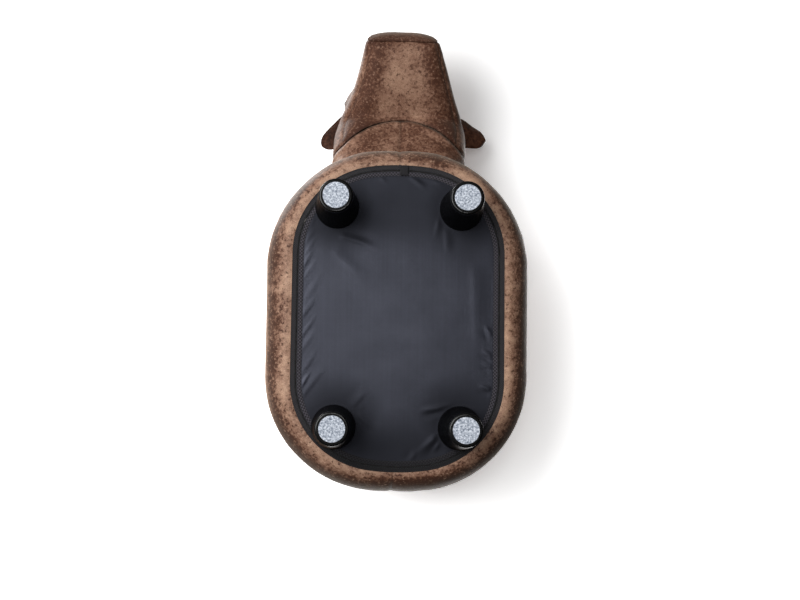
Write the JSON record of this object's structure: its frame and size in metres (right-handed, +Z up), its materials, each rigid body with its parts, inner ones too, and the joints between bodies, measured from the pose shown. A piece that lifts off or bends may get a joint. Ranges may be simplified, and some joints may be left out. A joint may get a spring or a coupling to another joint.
{
  "type": "horse stool",
  "caption": "Low upholstered stool in the shape of a horse, with a padded oblong seat, a sloping head, a zipped base cover and tapered feet on felt pads.",
  "frame": {"origin": "on the floor under the middle of the whole stool, between the nose and the back", "axes": "+Z up from the floor, -Y towards the horse's nose, +X to the horse's left"},
  "size_m": [0.3648, 0.6918, 0.3847],
  "materials": {
    "foot_black": "satin",
    "felt_grey": "matte",
    "steel": "satin",
    "pine": "matte",
    "foam": "matte",
    "leather_brown": "satin",
    "leather_dark": "satin",
    "base_nylon": "satin",
    "zip_cloth": "matte",
    "zip_nylon": "satin",
    "zip_metal": "satin",
    "eye_gloss": "gloss"
  },
  "bodies": {
    "stool": {"foot_front_right": "foot_black", "foot_front_left": "foot_black", "foot_rear_right": "foot_black", "foot_rear_left": "foot_black", "felt_front_right": "felt_grey", "felt_front_left": "felt_grey", "felt_rear_right": "felt_grey", "felt_rear_left": "felt_grey", "foot_bolts": "steel", "leg_t_nuts": "steel", "frame_screws": "steel", "neck_screws": "steel", "base_board": "pine", "frame_posts": "pine", "top_board": "pine", "neck_plate": "pine", "neck_spar": "pine", "side_foam_left": "foam", "side_foam_right": "foam", "side_foam_front": "foam", "side_foam_rear": "foam", "seat_foam": "foam", "neck_foam": "foam", "head_foam": "foam", "seat_cover": "leather_brown", "body_cover_left": "leather_brown", "body_cover_right": "leather_brown", "neck_cover_left": "leather_brown", "neck_cover_right": "leather_brown", "jaw_panel": "leather_brown", "face_panel": "leather_brown", "nose_panel": "leather_brown", "cheek_left": "leather_brown", "cheek_right": "leather_brown", "ear_left": "leather_dark", "ear_right": "leather_dark", "mane": "leather_dark", "forelock": "leather_dark", "tail": "leather_dark", "tail_wrap": "leather_dark", "base_cover": "base_nylon", "zip_tab": "base_nylon", "zip_tape_outer": "zip_cloth", "zip_tape_inner": "zip_cloth", "zip_coil_outer": "zip_nylon", "zip_coil_inner": "zip_nylon", "eye_washers": "zip_nylon", "eye_left": "eye_gloss", "eye_right": "eye_gloss"},
    "zip_slider": {"zip_slider": "zip_metal"}
  },
  "joints": [
    {"name": "zip_run", "type": "hinge", "parent": "stool", "child": "zip_slider", "pos_m": [0, 0.19733, 0.0933], "axis": [0, 0, 1], "range_deg": [0, 4.8]}
  ]
}
